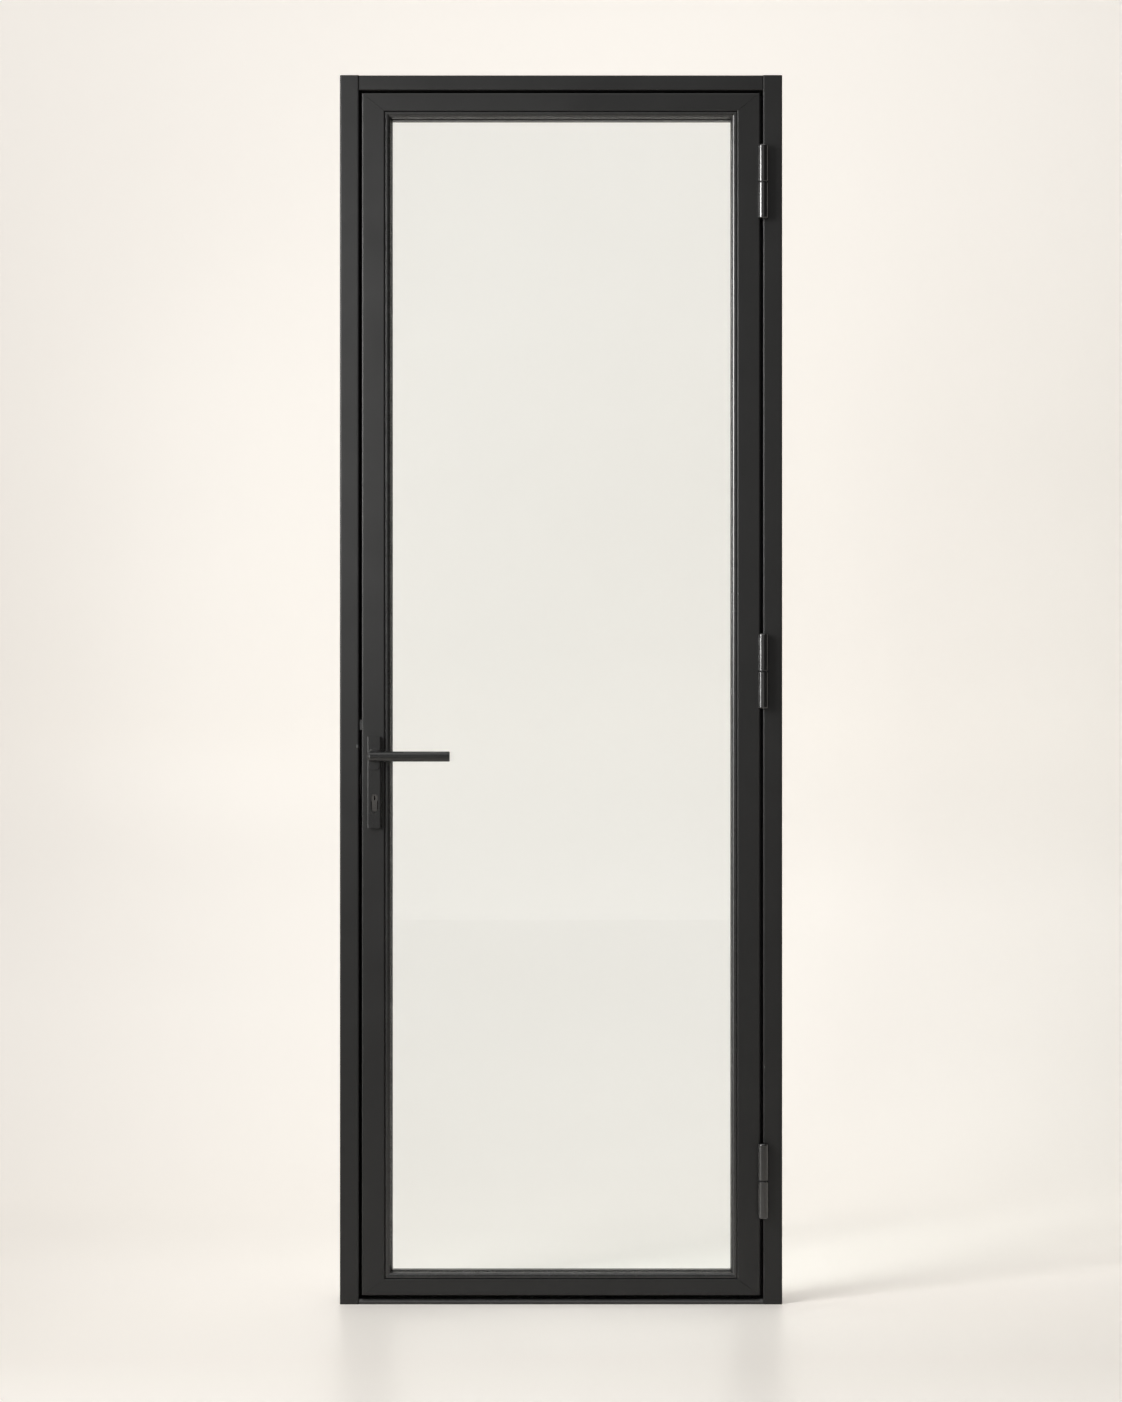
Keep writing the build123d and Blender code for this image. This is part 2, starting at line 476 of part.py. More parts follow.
for z0, z1, zs in ((885.0, 907.5, 901.5), (1112.5, 1135.0, 1118.5)):
    clip = block(-LEAF + 2, -LEAF + 9, -15, 15, z0, z1) - along_x(
        outline([(-10.05, FACE_Z[0] - 0.05), (10.05, FACE_Z[0] - 0.05), (10.05, FACE_Z[1] + 0.05), (-10.05, FACE_Z[1] + 0.05)], [3] * 4), -LEAF - 1, -LEAF + 3)
    clip -= rod_x(-LEAF, -LEAF + 10, 0, zs, 2.5)
    clips.append(clip)
    faceplate -= csk_hole((-LEAF, 0, zs), (-1, 0, 0), 5)
    clip_screws.append(csk_screw((-LEAF + 0.02, 0, zs), (-1, 0, 0), 14))
parts["lock_fixing_clips"] = joined(*clips)
parts["faceplate_screws"] = joined(*clip_screws)

case = block(*CASE) - block(CASE[0] - 1, CASE[1] - 1.2, CASE[2] + 1.2, CASE[3] - 1.2, CASE[4] + 1.2, CASE[5] - 1.2)
# web that guides the latch's rod and carries the latch spring
case += block(-351.5, -350.3, CASE[2] + 1.0, CASE[3] - 1.0, 1073, CASE[5] - 1.0)
case -= rod_x(-352, -349, 0, 1081, 3.2)
case -= rod_y(-9, 9, SPINDLE_X, SPINDLE_Z, 8.06)
case -= along_y(cylinder_profile(0.3), -9, 9)
BOLT1, BOLT2 = (-349.0, 1056.0), (-349.0, 900.0)
case -= rod_y(-9, 9, *BOLT1, 3.0)
FIX_SCREW_Z = 927.5
cut = rod_x(-LEAF - 1, SPINDLE_X + 6, 0, FIX_SCREW_Z, 2.5)
faceplate -= csk_hole((-LEAF, 0, FIX_SCREW_Z), (-1, 0, 0), 5)
parts["cylinder_fixing_screw"] = csk_screw((-LEAF + 0.02, 0, FIX_SCREW_Z), (-1, 0, 0), 28)
parts["lock_case"] = case
parts["lock_faceplate"] = faceplate

# holes through the lock stile's front and back walls
for tool in (rod_y(-26, 26, SPINDLE_X, SPINDLE_Z, 11.5), along_y(cylinder_profile(0.5), -26, 26), rod_y(-26, 26, *BOLT1, 4.7), rod_y(-26, 26, *BOLT2, 4.7)):
    stile_lock -= tool & block(-372, -331, -30, 30, 880, 1080)

# ---------------------------------------------------------------- lock cylinder
PLUG_R = 6.0
body = along_y(cylinder_profile(), -31, 31)
body -= block(SPINDLE_X - 12, SPINDLE_X + 12, -5, 5, 933.5, 965)
body -= rod_y(-32, 32, SPINDLE_X, CYL_Z, PLUG_R + FIT)
body -= rod_x(-360, SPINDLE_X + 4, 0, FIX_SCREW_Z, 2.5)
parts["cylinder_body"] = body
plug = rod_y(-31, -5, SPINDLE_X, CYL_Z, PLUG_R)
plug -= block(SPINDLE_X - 1.1, SPINDLE_X + 1.1, -32, -10, CYL_Z - 4.6, CYL_Z + 3.8)
plug -= block(SPINDLE_X - 1.1, SPINDLE_X + 2.2, -32, -10, CYL_Z - 2.4, CYL_Z - 0.6)
parts["cylinder_plug_front"] = plug
parts["cylinder_plug_rear"] = mirror(plug, about=Plane.XZ)
cam = rod_y(-4.8, 4.8, SPINDLE_X, CYL_Z, 7.8) + rod_y(-5, 5, SPINDLE_X, CYL_Z, 5.8)
lobe = along_y(outline([(-3.6, 0), (3.6, 0), (3.0, 13.3), (-3.0, 13.3)], [0, 0, 1.2, 1.2]), -4.0, 4.0)
cam += Pos(SPINDLE_X, 0, CYL_Z) * (Rot(0, 150, 0) * lobe)
parts["lock_cam"] = cam

# ---------------------------------------------------------------- bolts inside the lock
latch_head = along_z(outline([(-382.5, -6), (-382.5, -3.4), (-374.3, 6), (-362, 6), (-362, -6)], [0.8, 1.2, 1.0, 0, 0]), *LATCH_Z)
latch = latch_head + rod_x(-362.5, SPINDLE_X + 3.6, 0, 1081, 3.0)
latch += block(SPINDLE_X + 3.1, SPINDLE_X + 4.3, -5, 5, SPINDLE_Z + 11.3, 1086)
latch -= rod_x(-376, -361, 0, 1089.2, 3.0)
parts["latch_bolt"] = latch
TURNS, SPRING_X0, SPRING_X1 = 9, -375.6, -351.9
coil = Helix(pitch=(SPRING_X1 - SPRING_X0) / TURNS, height=SPRING_X1 - SPRING_X0, radius=2.2)
wire = sweep(Plane(origin=coil @ 0, z_dir=coil % 0) * Circle(0.35), path=coil)
parts["latch_spring"] = Pos(SPRING_X0, 0, 1089.2) * (Rot(0, 90, 0) * wire)

bolt = along_z(outline([(-LEAF + 0.1, -5.5), (-340, -5.5), (-340, 5.5), (-LEAF + 0.1, 5.5)], [0.8, 0, 0, 0.8]), *BOLT_Z)
bolt -= block(-364, -339, -6, 6, BOLT_Z[0] - 1, 963.5)
parts["deadbolt"] = bolt

follower = rod_y(-6, 6, SPINDLE_X, SPINDLE_Z, 9.5) + rod_y(-7.5, 7.5, SPINDLE_X, SPINDLE_Z, 8.0)
follower += block(SPINDLE_X - 3, SPINDLE_X + 3, -4.5, 4.5, SPINDLE_Z, SPINDLE_Z + 14) + rod_y(-4.5, 4.5, SPINDLE_X, SPINDLE_Z + 14, 3.0)
SQ = 4.06
follower -= block(SPINDLE_X - SQ, SPINDLE_X + SQ, -9, 9, SPINDLE_Z - SQ, SPINDLE_Z + SQ)
parts["lock_follower"] = follower

# ---------------------------------------------------------------- handle plates
OUT = FRONT - PLATE_T    # -33, outer face of the front plate
x0, x1, z0, z1 = PLATE
section = outline([(x0, FRONT), (x0, OUT), (x1, OUT), (x1, FRONT)], [0, 3.8, 3.8, 0])
plan = outline([(x0, z0), (x1, z0), (x1, z1), (x0, z1)], [4.5] * 4)
plate = along_z(section, z0 - 1, z1 + 1) & along_y(plan, OUT - 1, FRONT)
boss = extrude(Plane(origin=(SPINDLE_X, OUT + 0.5, 1020.0), x_dir=(0, 0, 1), z_dir=(0, -1, 0)) * SlotOverall(41.0, 22.0), amount=3.5)
boss = fillet(boss.faces().sort_by(Axis.Y)[0].edges(), 1.0)
plate += boss
plate -= rod_y(OUT - 5, FRONT + 1, SPINDLE_X, SPINDLE_Z, 10.5)
key_window = Pos(0, 0, 0) * along_y(outline([(SPINDLE_X - 6.5, 921), (SPINDLE_X + 6.5, 921), (SPINDLE_X + 6.5, 955), (SPINDLE_X - 6.5, 955)], [6.3] * 4), OUT - 1, FRONT + 1)
plate -= key_window
plate -= along_y(cylinder_profile(0.3), OUT + 2, FRONT + 1)
rear_plate = mirror(plate, about=Plane.XZ)
screws = []
for spot in (BOLT1, BOLT2):
    plate += rod_y(FRONT - 1, -12, *spot, 4.4)
    plate -= rod_y(-30, -11, *spot, 2.5)
    rear_plate -= csk_hole((spot[0], -OUT, spot[1]), (0, 1, 0), 10)
    screws.append(csk_screw((spot[0], -OUT - 0.02, spot[1]), (0, 1, 0), 60))
parts["handle_plate_front"] = plate
parts["handle_plate_rear"] = rear_plate
parts["plate_bolts"] = joined(*screws)
bush = rod_y(OUT - 3, FRONT - 1, SPINDLE_X, SPINDLE_Z, 10.45) - rod_y(OUT - 4, FRONT, SPINDLE_X, SPINDLE_Z, 8.06)
parts["neck_bushes"] = joined(bush, mirror(bush, about=Plane.XZ))

# ---------------------------------------------------------------- levers on a common square spindle
NECK = OUT - 3.3         # shoulder of the neck, just clear of the raised boss
far = 60.0
corner = (SPINDLE_X, BAR_Y)


def lever_to(tip):
    """Neck and grip of one round bar, mitred at the elbow, its outer corner well rounded."""
    neck = rod_y(BAR_Y - BAR_R - 2, NECK, SPINDLE_X, SPINDLE_Z, BAR_R)
    grip = rod_x(SPINDLE_X - BAR_R - 2, tip, BAR_Y, SPINDLE_Z, BAR_R)
    grip = fillet(grip.edges().filter_by(GeomType.CIRCLE).sort_by(Axis.X)[-1], 1.4)
    neck_side = along_z(outline([(corner[0] - far, corner[1] - far), (corner[0] + far, corner[1] + far), (corner[0] - far, corner[1] + far)]), SPINDLE_Z - 20, SPINDLE_Z + 20)
    grip_side = along_z(outline([(corner[0] - far, corner[1] - far), (tip + 40, corner[1] - far), (tip + 40, corner[1] + far), (corner[0] + far, corner[1] + far)]), SPINDLE_Z - 20, SPINDLE_Z + 20)
    bar = (neck & neck_side) + (grip & grip_side)
    shell = along_z(outline([
        (SPINDLE_X - BAR_R, 0), (SPINDLE_X - BAR_R, BAR_Y - BAR_R), (tip + 5, BAR_Y - BAR_R), (tip + 5, 0)], [0, 7.0, 0, 0]), SPINDLE_Z - 20, SPINDLE_Z + 20)
    bar = bar & shell
    bar += rod_y(NECK - 1, FRONT - 0.5, SPINDLE_X, SPINDLE_Z, 8.0)
    bar -= block(SPINDLE_X - SQ, SPINDLE_X + SQ, -58, -20, SPINDLE_Z - SQ, SPINDLE_Z + SQ)
    bar -= rod_z(SPINDLE_Z - 12, SPINDLE_Z, SPINDLE_X, -45, 2.5)
    return bar


parts["lever_front"] = lever_to(LEVER_TIP)
parts["lever_rear"] = mirror(lever_to(REAR_TIP), about=Plane.XZ)
spindle = along_y(outline([(SPINDLE_X - 4, SPINDLE_Z - 4), (SPINDLE_X + 4, SPINDLE_Z - 4), (SPINDLE_X + 4, SPINDLE_Z + 4), (SPINDLE_X - 4, SPINDLE_Z + 4)], [0.4] * 4), -57, 57)
parts["spindle"] = spindle
grub = rod_z(SPINDLE_Z - 8.8, SPINDLE_Z - 4.0, SPINDLE_X, -45, 2.45)
grub -= Pos(SPINDLE_X, -45, SPINDLE_Z - 9) * extrude(RegularPolygon(1.25, 6), amount=2.5)
parts["lever_grub_screws"] = joined(grub, mirror(grub, about=Plane.XZ))

parts["jamb_left"] = jamb_left
parts["jamb_right"] = jamb_right
parts["head"] = head
parts["threshold"] = threshold
parts["stile_lock"] = stile_lock
parts["stile_hinge"] = stile_hinge
parts["rail_top"] = rail_top
parts["rail_bottom"] = rail_bottom

# ---------------------------------------------------------------- write one file for each piece
os.makedirs("parts", exist_ok=True)
for stale in os.listdir("parts"):
    if stale.endswith(".step") and stale[:-5] not in parts:
        os.remove(os.path.join("parts", stale))
for name, shape in parts.items():
    export_step(shape, os.path.join("parts", name + ".step"))
print(len(parts), "pieces")
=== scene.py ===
import json
import math

import bpy
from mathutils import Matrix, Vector

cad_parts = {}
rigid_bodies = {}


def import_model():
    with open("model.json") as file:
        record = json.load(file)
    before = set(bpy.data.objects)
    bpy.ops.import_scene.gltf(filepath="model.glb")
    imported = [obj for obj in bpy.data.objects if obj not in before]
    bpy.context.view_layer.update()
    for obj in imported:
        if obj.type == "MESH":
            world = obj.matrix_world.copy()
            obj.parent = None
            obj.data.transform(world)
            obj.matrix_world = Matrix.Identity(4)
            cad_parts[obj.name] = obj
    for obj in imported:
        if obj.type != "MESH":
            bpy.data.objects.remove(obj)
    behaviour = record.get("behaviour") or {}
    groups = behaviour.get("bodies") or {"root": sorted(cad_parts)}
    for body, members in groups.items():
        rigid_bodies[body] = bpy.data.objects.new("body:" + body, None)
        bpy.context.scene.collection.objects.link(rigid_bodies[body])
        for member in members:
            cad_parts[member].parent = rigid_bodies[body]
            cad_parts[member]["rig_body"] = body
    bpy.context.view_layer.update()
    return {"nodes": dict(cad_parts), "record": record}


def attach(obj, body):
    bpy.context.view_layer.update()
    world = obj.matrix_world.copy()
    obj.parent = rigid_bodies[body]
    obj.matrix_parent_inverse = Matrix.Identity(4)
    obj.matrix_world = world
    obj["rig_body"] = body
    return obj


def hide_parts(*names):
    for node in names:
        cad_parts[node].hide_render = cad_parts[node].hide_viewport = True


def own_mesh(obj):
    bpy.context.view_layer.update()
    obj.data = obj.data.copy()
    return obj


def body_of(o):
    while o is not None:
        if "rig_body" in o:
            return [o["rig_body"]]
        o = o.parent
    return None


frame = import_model()
NODES = frame["nodes"]

scene = bpy.context.scene
scene.view_settings.view_transform = "Standard"
scene.view_settings.look = "None"
scene.view_settings.exposure = 0.0
scene.view_settings.gamma = 1.0


# ------------------------------------------------------------------ material building
class Tree:
    """A small helper that adds nodes to one material and links them."""

    def __init__(self, name):
        self.mat = bpy.data.materials.new(name)
        self.mat.use_nodes = True
        self.nodes = self.mat.node_tree.nodes
        self.links = self.mat.node_tree.links
        self.nodes.clear()
        self.out = self.nodes.new("ShaderNodeOutputMaterial")
        self.coord = self.nodes.new("ShaderNodeTexCoord")

    def shader(self, **values):
        node = self.nodes.new("ShaderNodeBsdfPrincipled")
        for key, value in values.items():
            node.inputs[key].default_value = value
        self.links.new(node.outputs[0], self.out.inputs["Surface"])
        return node

    def stretch(self, scale):
        node = self.nodes.new("ShaderNodeMapping")
        node.inputs["Scale"].default_value = scale
        self.links.new(self.coord.outputs["Object"], node.inputs["Vector"])
        return node.outputs["Vector"]

    def noise(self, scale, detail=2.0, rough=0.5, vector=None, distortion=0.0):
        node = self.nodes.new("ShaderNodeTexNoise")
        node.inputs["Scale"].default_value = scale
        node.inputs["Detail"].default_value = detail
        node.inputs["Roughness"].default_value = rough
        node.inputs["Distortion"].default_value = distortion
        self.links.new(vector or self.coord.outputs["Object"], node.inputs["Vector"])
        return node.outputs["Fac"]

    def cells(self, scale, vector=None):
        node = self.nodes.new("ShaderNodeTexVoronoi")
        node.inputs["Scale"].default_value = scale
        self.links.new(vector or self.coord.outputs["Object"], node.inputs["Vector"])
        return node.outputs["Distance"]

    def span(self, value, low, high, out_low, out_high):
        node = self.nodes.new("ShaderNodeMapRange")
        node.inputs["From Min"].default_value = low
        node.inputs["From Max"].default_value = high
        node.inputs["To Min"].default_value = out_low
        node.inputs["To Max"].default_value = out_high
        self.links.new(value, node.inputs["Value"])
        return node.outputs["Result"]

    def tones(self, value, *stops):
        node = self.nodes.new("ShaderNodeValToRGB")
        ramp = node.color_ramp
        while len(ramp.elements) < len(stops):
            ramp.elements.new(0.5)
        for element, (at, colour) in zip(ramp.elements, stops):
            element.position = at
            element.color = (*colour, 1.0)
        self.links.new(value, node.inputs["Fac"])
        return node.outputs["Color"]

    def times(self, a, b, kind="MULTIPLY"):
        node = self.nodes.new("ShaderNodeMath")
        node.operation = kind
        for socket, value in zip(node.inputs, (a, b)):
            if isinstance(value, (int, float)):
                socket.default_value = value
            else:
                self.links.new(value, socket)
        return node.outputs[0]

    def bump(self, height, strength, distance, under=None):
        node = self.nodes.new("ShaderNodeBump")
        node.inputs["Strength"].default_value = strength
        node.inputs["Distance"].default_value = distance
        self.links.new(height, node.inputs["Height"])
        if under is not None:
            self.links.new(under, node.inputs["Normal"])
        return node.outputs["Normal"]

    def join(self, output, shader, socket):
        self.links.new(output, shader.inputs[socket])


def grey(v, warm=0.0):
    return (v * (1 + warm), v, v * (1 - warm))


def powder_coat(name, tone, rough, texture, warm=0.0, shine=0.40, lacquer=0.0):
    """Baked powder coat: fine grained skin, faint orange peel, cloudy sheen, and painted sparkle: a few lighter
    specks in the colour that stand in for glints.
    """
    t = Tree(name)
    s = t.shader(**{"Metallic": 0.0, "IOR": 1.5, "Specular IOR Level": shine, "Coat Weight": lacquer, "Coat Roughness": 0.14, "Coat IOR": 1.7})
    cloud = t.noise(7.0, 5.0, 0.55, distortion=0.3)
    grain = t.noise(1500.0, 2.0, 0.6)
    peel = t.noise(330.0, 1.0, 0.4)
    # painted sparkle: lighter specks added to the base colour below stand in for glints
    painted_sparkle = t.cells(2600.0)
    base = t.tones(cloud, (0.30, grey(tone * 0.90, warm)), (0.55, grey(tone, warm)), (0.75, grey(tone * 1.12, warm)))
    mix = t.nodes.new("ShaderNodeMix")
    mix.data_type = "RGBA"
    mix.blend_type = "ADD"
    t.links.new(t.span(painted_sparkle, 0.0, 0.10, 0.55, 0.0), mix.inputs["Factor"])
    t.links.new(base, mix.inputs["A"])
    mix.inputs["B"].default_value = (0.03, 0.03, 0.031, 1.0)
    t.join(mix.outputs["Result"], s, "Base Color")
    rough_noise = t.times(t.span(cloud, 0.3, 0.7, -0.035, 0.035), t.span(grain, 0.3, 0.7, -0.03, 0.03), "ADD")
    t.join(t.times(rough_noise, rough, "ADD"), s, "Roughness")
    first = t.bump(peel, 0.10 * texture, 0.0006)
    t.join(t.bump(grain, 0.28 * texture, 0.00025, under=first), s, "Normal")
    return t.mat


def brushed(name, tone, rough, along, warm=0.0, coarse=1.0):
    """Metal with fine drawn lines along one axis and a cloudy sheen."""
    t = Tree(name)
    s = t.shader(**{"Metallic": 1.0, "IOR": 1.5, "Anisotropic": 0.35})
    scale = [1.0, 1.0, 1.0]
    scale["xyz".index(along)] = 0.02
    lines = t.noise(2600.0 * coarse, 3.0, 0.65, vector=t.stretch(scale))
    cloud = t.noise(38.0, 4.0, 0.5)
    t.join(t.tones(cloud, (0.3, grey(tone * 0.86, warm)), (0.7, grey(tone * 1.06, warm))), s, "Base Color")
    t.join(t.times(t.span(lines, 0.3, 0.7, rough * 0.75, rough * 1.3), t.span(cloud, 0.3, 0.7, -0.03, 0.03), "ADD"), s, "Roughness")
    t.join(t.bump(lines, 0.22, 0.00008), s, "Normal")
    return t.mat


def zinc(name):
    """Bright zinc plating: small cloudy spangle with a cool and a faintly yellow tone."""
    t = Tree(name)
    s = t.shader(**{"Metallic": 1.0, "IOR": 1.5})
    flake = t.cells(420.0)
    cloud = t.noise(90.0, 4.0, 0.6)
    t.join(t.tones(cloud, (0.32, (0.42, 0.43, 0.45)), (0.55, (0.55, 0.55, 0.54)), (0.75, (0.58, 0.55, 0.47))), s, "Base Color")
    t.join(t.times(t.span(flake, 0.0, 0.6, 0.30, 0.42), t.span(cloud, 0.3, 0.7, -0.05, 0.05), "ADD"), s, "Roughness")
    t.join(t.bump(flake, 0.12, 0.0001), s, "Normal")
    return t.mat


def rubber(name):
    """Extruded black seal rubber: soft sheen, a fine bumpy skin and a dusting of bloom."""
    t = Tree(name)
    s = t.shader(**{"Metallic": 0.0, "IOR": 1.5, "Specular IOR Level": 0.35})
    bloom = t.noise(60.0, 5.0, 0.6)
    skin = t.noise(1900.0, 2.0, 0.6)
    t.join(t.tones(bloom, (0.35, grey(0.008)), (0.62, grey(0.012)), (0.8, grey(0.020))), s, "Base Color")
    t.join(t.span(bloom, 0.3, 0.7, 0.58, 0.74), s, "Roughness")
    t.join(t.bump(skin, 0.25, 0.0002), s, "Normal")
    return t.mat


def plastic(name, tone):
    """Moulded plastic with an eroded mould finish."""
    t = Tree(name)
    s = t.shader(**{"Metallic": 0.0, "IOR": 1.46})
    erosion = t.noise(2300.0, 3.0, 0.7)
    flow = t.noise(45.0, 3.0, 0.5)
    t.join(t.tones(flow, (0.3, grey(tone * 0.85)), (0.7, grey(tone * 1.15))), s, "Base Color")
    t.join(t.span(erosion, 0.3, 0.7, 0.46, 0.62), s, "Roughness")
    t.join(t.bump(erosion, 0.3, 0.00015), s, "Normal")
    return t.mat


def clear_glass(name):
    """Clear float glass with a slight grey green body; lamps shine through it."""
    t = Tree(name)
    s = t.shader(**{"Metallic": 0.0, "IOR": 1.45, "Specular IOR Level": 0.30, "Transmission Weight": 1.0, "Roughness": 0.0})
    draw = t.noise(3.0, 1.0, 0.4, vector=t.stretch((1.0, 1.0, 0.35)))
    t.join(t.tones(draw, (0.35, (0.868, 0.895, 0.899)), (0.65, (0.874, 0.900, 0.904))), s, "Base Color")
    t.join(t.bump(draw, 0.02, 0.0004), s, "Normal")
    through = t.nodes.new("ShaderNodeBsdfTransparent")
    through.inputs["Color"].default_value = (0.90, 0.93, 0.92, 1.0)
    path = t.nodes.new("ShaderNodeLightPath")
    mix = t.nodes.new("ShaderNodeMixShader")
    t.links.new(path.outputs["Is Shadow Ray"], mix.inputs["Fac"])
    t.links.new(s.outputs[0], mix.inputs[1])
    t.links.new(through.outputs[0], mix.inputs[2])
    t.links.new(mix.outputs[0], t.out.inputs["Surface"])
    return t.mat


FRAME_COAT = powder_coat("frame_powder_coat", 0.0112, 0.40, 0.8)
LEAF_COAT = powder_coat("leaf_powder_coat", 0.0118, 0.40, 0.8)
BEAD_COAT = powder_coat("bead_powder_coat", 0.0095, 0.27, 0.5, shine=0.80)
HINGE_COAT = powder_coat("hinge_powder_coat", 0.0060, 0.22, 0.22, shine=0.85, lacquer=0.30)
HANDLE_COAT = powder_coat("handle_powder_coat", 0.0062, 0.28, 0.5, shine=0.60)
SILL_COAT = powder_coat("sill_powder_coat", 0.0112, 0.28, 0.5, shine=0.62)
STEEL_X = brushed("dark_steel_across", 0.30, 0.30, "x")
STEEL_Z = brushed("satin_steel_upright", 0.42, 0.30, "z")
# dark zinc plating on the strike plate; its darkness is partly painted shade of the gap between leaf and jamb
DARK_ZINC_GAP_SHADE = brushed("dark_zinc_with_painted_gap_shade", 0.17, 0.34, "z", coarse=0.8)
NICKEL = brushed("black_nickel", 0.11, 0.32, "y", warm=0.04)
MILL = brushed("mill_aluminium", 0.60, 0.38, "z", coarse=0.6)
ZINC = zinc("zinc_plating")
RUBBER = rubber("seal_rubber")
PLASTIC = plastic("black_moulded_plastic", 0.016)
GLASS = clear_glass("clear_float_glass")

FINISH = {
    "frame_coat": FRAME_COAT, "leaf_coat": LEAF_COAT, "bead_coat": BEAD_COAT, "hinge_coat": HINGE_COAT,
    "handle_coat": HANDLE_COAT, "glass": GLASS, "seal_rubber": RUBBER, "steel": STEEL_Z, "zinc_steel": ZINC,
    "cylinder_metal": NICKEL, "dark_steel": STEEL_X, "cleat_metal": MILL, "black_plastic": PLASTIC,
}
OWN = {"strike_plate": DARK_ZINC_GAP_SHADE, "threshold": SILL_COAT}
slot_of = {s["node"]: s["material_slot"] for s in frame["record"]["subparts"]}
for name, obj in NODES.items():
    finish = OWN.get(name, FINISH[slot_of[name]])
    obj.data.materials.clear()
    obj.data.materials.append(finish)


# ------------------------------------------------------------------ the latch spring: a copy with its own mesh rides with the spring's body, and the CAD spring is hidden
spring_cad = NODES["latch_spring"]
spring = bpy.data.objects.new("latch_spring_coil", spring_cad.data.copy())
scene.collection.objects.link(spring)
spring.matrix_world = spring_cad.matrix_world.copy()
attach(spring, body_of(spring_cad)[0])
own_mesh(spring)
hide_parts("latch_spring")


# ------------------------------------------------------------------ stage: floor that curves up into a wall
# painted light: how strongly the paper glows at each point of its run along the floor and up the wall, standing in
# for lamp light
PAINTED_LIGHT_STOPS = [(-1.6, 0.05), (-1.0, 0.229), (-0.5, 0.112), (-0.1, 0.15), (0.35, 0.212), (0.8, 0.218), (1.2, 0.256), (1.6, 0.333), (2.0, 0.366), (2.4, 0.385), (2.8, 0.356), (3.2, 0.317), (3.6, 0.302), (4.0, 0.326), (4.4, 0.37), (4.8, 0.411), (5.3, 0.465)]
PAINTED_LIGHT_SLOPE = -0.05      # painted light: change in the paper's glow for each metre to the right, on the wall


def stage_finish():
    t = Tree("studio_paper")
    s = t.shader(**{"Metallic": 0.0, "IOR": 1.45, "Specular IOR Level": 0.5})
    fibre = t.noise(1.3, 3.0, 0.5)
    t.join(t.tones(fibre, (0.3, (0.855, 0.822, 0.775)), (0.7, (0.87, 0.838, 0.793))), s, "Base Color")
    t.join(t.span(fibre, 0.3, 0.7, 0.34, 0.40), s, "Roughness")
    # painted light: the paper glows in place of lamp light, more or less along the floor and up the wall, and on the
    # wall less to the right
    split = t.nodes.new("ShaderNodeSeparateXYZ")
    t.links.new(t.coord.outputs["Object"], split.inputs[0])
    run = t.times(split.outputs["Y"], split.outputs["Z"], "ADD")
    along = t.tones(t.span(run, -4.0, 6.0, 0.0, 1.0), *[((at + 4.0) / 10.0, (v, v, v)) for at, v in PAINTED_LIGHT_STOPS])
    wall = t.span(run, 1.0, 2.3, 0.0, PAINTED_LIGHT_SLOPE)
    across = t.times(t.span(split.outputs["X"], -2.0, 2.0, -2.0, 2.0), wall)
    t.join(t.times(along, across, "ADD"), s, "Emission Strength")
    s.inputs["Emission Color"].default_value = (1.0, 0.955, 0.90, 1.0)
    return t.mat


def cove(wall_y, radius, half, front, top):
    profile = [(front, 0.0)]
    steps = 40
    for i in range(steps + 1):
        a = math.pi / 2 * i / steps
        profile.append((wall_y - radius + radius * math.sin(a), radius - radius * math.cos(a)))
    profile.append((wall_y, top))
    verts = [(x, y, z) for x in (-half, half) for y, z in profile]
    n = len(profile)
    faces = [(i, n + i, n + i + 1, i + 1) for i in range(n - 1)]
    mesh = bpy.data.meshes.new("studio_sweep")
    mesh.from_pydata(verts, [], faces)
    mesh.update()
    for p in mesh.polygons:
        p.use_smooth = True
    obj = bpy.data.objects.new("studio_sweep", mesh)
    scene.collection.objects.link(obj)
    obj.data.materials.append(stage_finish())
    return obj


cove(wall_y=2.3, radius=1.1, half=30.0, front=-12.0, top=9.0)

# ------------------------------------------------------------------ light
def area(name, at, aim, size, power, colour, spread=180.0):
    lamp = bpy.data.lights.new(name, "AREA")
    lamp.shape = "RECTANGLE"
    lamp.size, lamp.size_y = size
    lamp.energy = power
    lamp.color = colour
    lamp.spread = math.radians(spread)
    obj = bpy.data.objects.new(name, lamp)
    scene.collection.objects.link(obj)
    obj.location = at
    obj.rotation_euler = (Vector(aim) - Vector(at)).to_track_quat("-Z", "Y").to_euler()
    return obj


def around(side, away, up):
    """A place at a bearing from straight in front of the door, negative to the left."""
    return (math.sin(math.radians(side)) * away, -math.cos(math.radians(side)) * away, up)


PAPER_WHITE = (1.0, 0.99, 0.975)
area("key_softbox", around(-46, 2.4, 2.05), (0.15, 0.0, 1.6), (1.0, 1.3), 23.5, PAPER_WHITE, spread=105)
area("side_strip", around(-55, 2.1, 1.5), (0.2, 0.0, 1.2), (0.34, 2.9), 10.8, PAPER_WHITE, spread=105)
area("overhead_panel", (0.0, -1.9, 5.0), (0.0, -1.9, 0.0), (5.0, 2.9), 72.0, PAPER_WHITE)

AMBIENT = 0.05
FRONT_PANEL = 0.58
PANEL_TOWARDS = (-0.035, -0.998, 0.05)
PANEL_HALF_ANGLE = 27.0


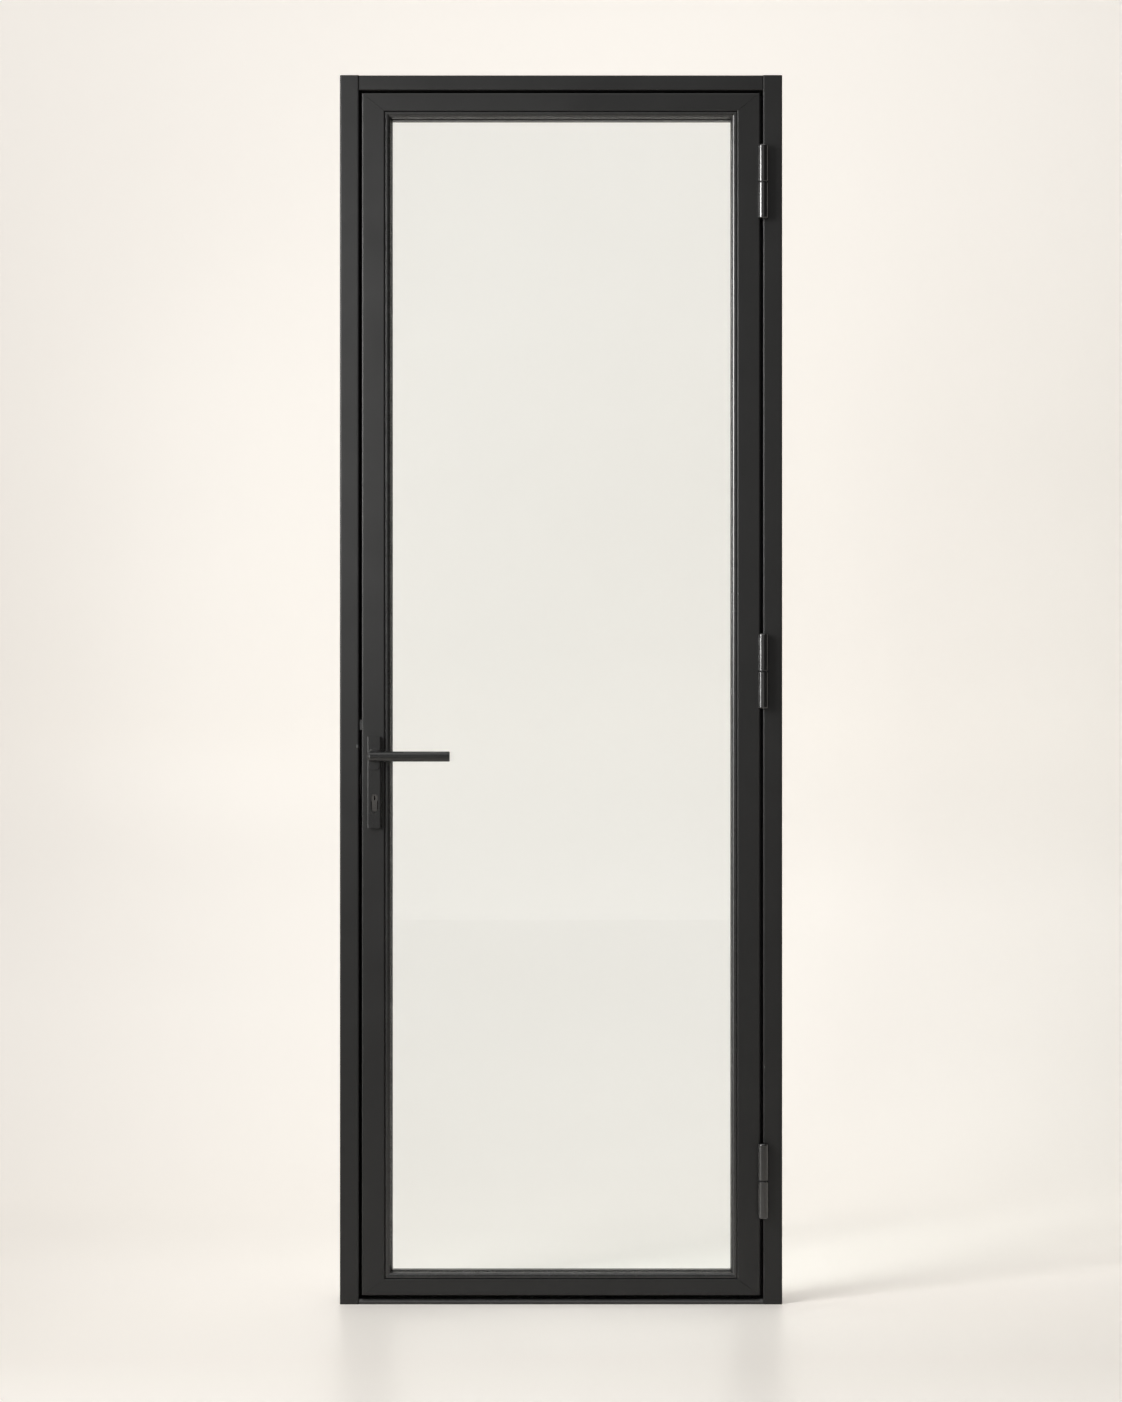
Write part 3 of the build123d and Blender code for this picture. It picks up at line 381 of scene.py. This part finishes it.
def studio_world():
    """Dim room light with one large soft panel behind the camera; past the sweep's edge the eye sees pale paper."""
    world = bpy.data.worlds.new("studio")
    scene.world = world
    world.use_nodes = True
    nodes, links = world.node_tree.nodes, world.node_tree.links
    nodes.clear()
    coord = nodes.new("ShaderNodeTexCoord")
    dot = nodes.new("ShaderNodeVectorMath")
    dot.operation = "DOT_PRODUCT"
    dot.inputs[1].default_value = Vector(PANEL_TOWARDS).normalized()
    links.new(coord.outputs["Generated"], dot.inputs[0])
    ramp = nodes.new("ShaderNodeMapRange")
    ramp.interpolation_type = "SMOOTHSTEP"
    ramp.inputs["From Min"].default_value = math.cos(math.radians(PANEL_HALF_ANGLE))
    ramp.inputs["From Max"].default_value = 1.0
    ramp.inputs["To Min"].default_value = AMBIENT
    ramp.inputs["To Max"].default_value = AMBIENT + FRONT_PANEL
    links.new(dot.outputs["Value"], ramp.inputs["Value"])
    room = nodes.new("ShaderNodeBackground")
    room.inputs["Color"].default_value = (1.0, 0.985, 0.965, 1.0)
    links.new(ramp.outputs["Result"], room.inputs["Strength"])
    paper = nodes.new("ShaderNodeBackground")
    paper.inputs["Color"].default_value = (0.896, 0.855, 0.791, 1.0)
    path = nodes.new("ShaderNodeLightPath")
    seen = nodes.new("ShaderNodeMath")
    seen.operation = "MAXIMUM"
    links.new(path.outputs["Is Camera Ray"], seen.inputs[0])
    links.new(path.outputs["Is Transmission Ray"], seen.inputs[1])
    mix = nodes.new("ShaderNodeMixShader")
    links.new(seen.outputs[0], mix.inputs["Fac"])
    links.new(room.outputs[0], mix.inputs[1])
    links.new(paper.outputs[0], mix.inputs[2])
    out = nodes.new("ShaderNodeOutputWorld")
    links.new(mix.outputs[0], out.inputs["Surface"])
    return ramp, dot


WORLD_RAMP, WORLD_DOT = studio_world()

# ------------------------------------------------------------------ camera, level, opposite the door
DISTANCE = 5.2           # from the door's front face
CAM_X, CAM_Z = 0.14, 1.03
VIEW_H = 2.623           # height of the picture at the door's front face
CENTRE_Z = 1.1289

camera = bpy.data.cameras.new("camera")
camera.sensor_width = 36.0
camera.lens = 36.0 * DISTANCE / VIEW_H
camera.shift_x = -CAM_X / VIEW_H
camera.shift_y = (CENTRE_Z - CAM_Z) / VIEW_H
camera.dof.use_dof = False
cam = bpy.data.objects.new("camera", camera)
scene.collection.objects.link(cam)
cam.location = (CAM_X, -0.025 - DISTANCE, CAM_Z)
cam.rotation_euler = (math.pi / 2, 0.0, 0.0)
scene.camera = cam
